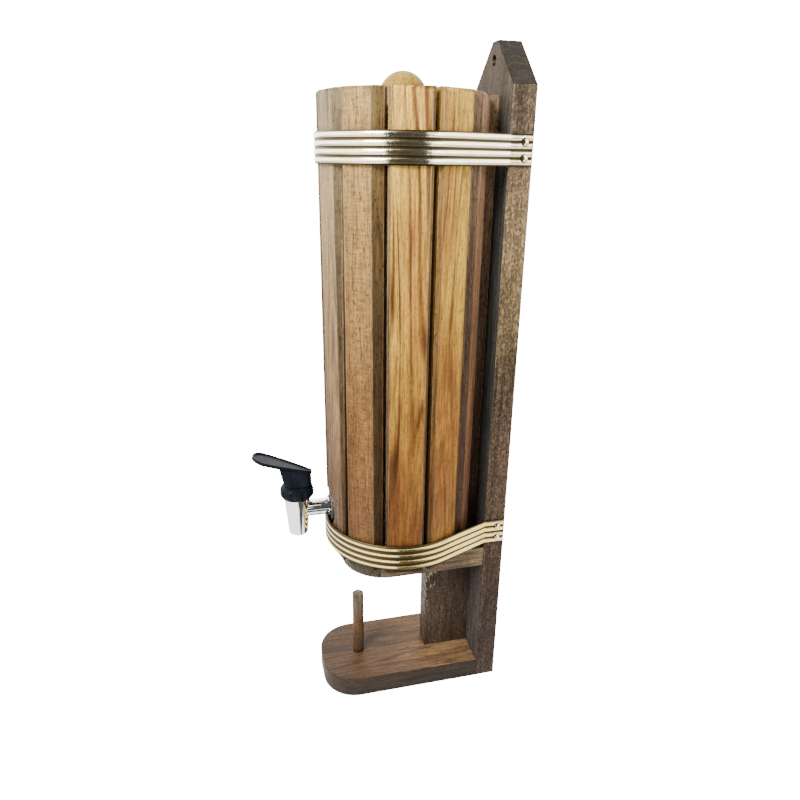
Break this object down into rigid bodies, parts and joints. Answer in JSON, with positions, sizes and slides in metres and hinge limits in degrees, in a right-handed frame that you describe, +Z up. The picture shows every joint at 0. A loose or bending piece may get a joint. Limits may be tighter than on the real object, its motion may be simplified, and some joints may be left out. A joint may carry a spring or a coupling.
{
  "type": "cask liquor dispenser",
  "caption": "Small upright stave cask with beaded brass hoops, strapped to a tall pointed back board, with a lever tap, a lift-out stopper and a peg on the base.",
  "frame": {"origin": "on the table, under the upright axis of the cask", "axes": "+Z up, -Y towards the user and the tap, +X to the right seen from the front"},
  "size_m": [0.1196, 0.1944, 0.5],
  "materials": {
    "board_wood": "waxed",
    "base_wood": "waxed",
    "peg_wood": "matte",
    "oak_grey": "waxed",
    "oak_honey": "waxed",
    "oak_red": "waxed",
    "pine": "satin",
    "tank_plastic": "matte",
    "hoop_brass": "polished",
    "steel": "satin",
    "chrome": "polished",
    "black_plastic": "satin",
    "rubber": "matte"
  },
  "bodies": {
    "cask": {"back_board": "board_wood", "base_plate": "base_wood", "support_post": "board_wood", "cask_shelf": "board_wood", "base_peg": "peg_wood", "stave_right_1": "oak_grey", "stave_left_1": "oak_grey", "stave_right_2": "oak_grey", "stave_left_2": "oak_honey", "stave_right_3": "oak_honey", "stave_left_3": "oak_grey", "stave_right_4": "oak_honey", "stave_left_4": "oak_honey", "stave_right_5": "oak_red", "stave_left_5": "oak_red", "stave_rear": "oak_red", "bottom_head": "oak_honey", "top_head": "oak_honey", "inner_tank": "tank_plastic", "tank_lid": "tank_plastic", "lower_hoop": "hoop_brass", "upper_hoop": "hoop_brass", "hoop_nails": "hoop_brass", "board_screws": "steel", "cask_screws": "steel", "post_screws": "steel", "tap_body": "chrome", "tap_bonnet": "black_plastic", "bonnet_seal": "rubber", "pivot_pin": "steel", "return_spring": "steel", "outer_washer": "black_plastic", "inner_washer": "black_plastic", "lock_nut": "chrome"},
    "lever": {"tap_lever": "black_plastic", "lift_pin": "steel"},
    "stem": {"valve_stem": "steel", "valve_washer": "rubber"},
    "plug": {"stopper": "pine", "stopper_rings": "rubber"}
  },
  "joints": [
    {"name": "lever_press", "type": "hinge", "parent": "cask", "child": "lever", "pos_m": [0, -0.0867, 0.193], "axis": [1, 0, 0], "range_deg": [0, 24], "stiffness_Nm_per_rad": 0.06, "springref_deg": -20.05},
    {"name": "stem_lift", "type": "slide", "parent": "cask", "child": "stem", "axis": [0, 0, 1], "range_m": [0, 0.0022], "deforming": ["return_spring"]},
    {"name": "stopper_lift", "type": "slide", "parent": "cask", "child": "plug", "axis": [0, 0, 1], "range_m": [0, 0.06]}
  ],
  "couplings": [
    {"joint": "stem_lift", "follows": "lever_press", "m_per_rad": 0.0052}
  ]
}
